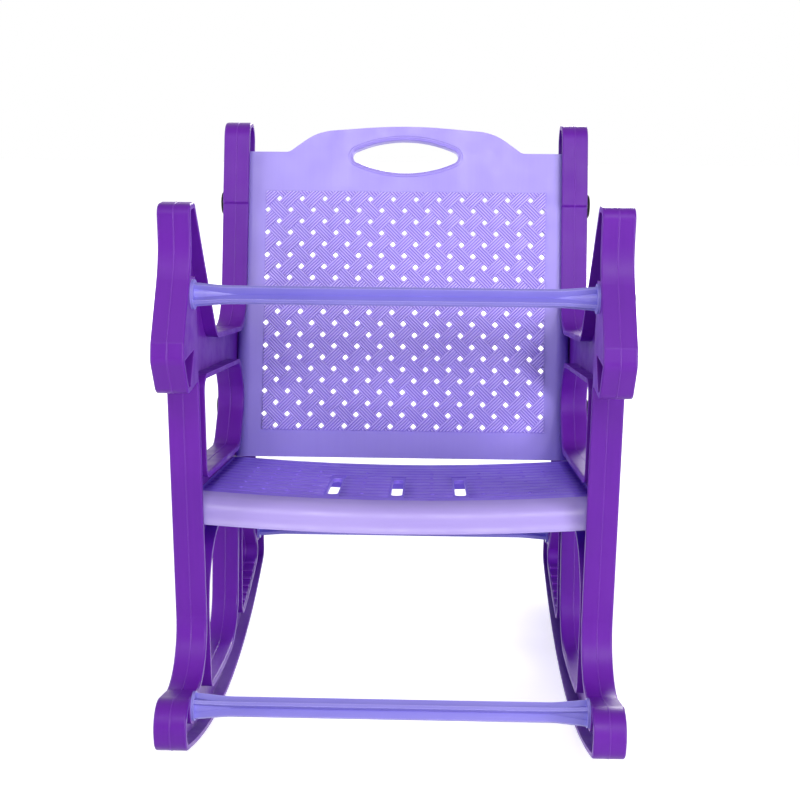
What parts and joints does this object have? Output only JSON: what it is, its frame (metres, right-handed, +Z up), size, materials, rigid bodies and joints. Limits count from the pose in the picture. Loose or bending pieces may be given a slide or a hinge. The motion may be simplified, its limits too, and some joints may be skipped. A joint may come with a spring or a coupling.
{
  "type": "child's rocking chair",
  "caption": "Child's plastic rocking chair: mirrored side frames on curved rockers, bowed seat, woven-pattern back with grip hole, safety bar and foot bar.",
  "frame": {"origin": "floor level, under the middle of the chair's box", "axes": "+Z up, the chair's front faces -Y, +X is on the right seen from the front"},
  "size_m": [0.3776, 0.4802, 0.516],
  "materials": {
    "frame_plastic": "satin moulded",
    "panel_plastic": "satin moulded",
    "bar_plastic": "satin moulded",
    "cap_plastic": "gloss",
    "screw_steel": "zinc plated"
  },
  "bodies": {
    "root": {"left_side_frame": "frame_plastic", "right_side_frame": "frame_plastic", "seat": "panel_plastic", "backrest": "panel_plastic", "safety_bar": "bar_plastic", "foot_bar": "bar_plastic", "rear_stretcher": "bar_plastic", "left_safety_bar_screw": "screw_steel", "left_foot_bar_screw": "screw_steel", "left_rear_stretcher_screw": "screw_steel", "left_seat_front_screw": "screw_steel", "left_seat_rear_screw": "screw_steel", "left_backrest_upper_screw": "screw_steel", "left_backrest_lower_screw": "screw_steel", "right_safety_bar_screw": "screw_steel", "right_foot_bar_screw": "screw_steel", "right_rear_stretcher_screw": "screw_steel", "right_seat_front_screw": "screw_steel", "right_seat_rear_screw": "screw_steel", "right_backrest_upper_screw": "screw_steel", "right_backrest_lower_screw": "screw_steel", "left_safety_bar_cap": "cap_plastic", "left_foot_bar_cap": "cap_plastic", "left_rear_stretcher_cap": "cap_plastic", "left_seat_front_cap": "cap_plastic", "left_seat_rear_cap": "cap_plastic", "left_backrest_upper_cap": "cap_plastic", "left_backrest_lower_cap": "cap_plastic", "right_safety_bar_cap": "cap_plastic", "right_foot_bar_cap": "cap_plastic", "right_rear_stretcher_cap": "cap_plastic", "right_seat_front_cap": "cap_plastic", "right_seat_rear_cap": "cap_plastic", "right_backrest_upper_cap": "cap_plastic", "right_backrest_lower_cap": "cap_plastic"}
  },
  "joints": []
}
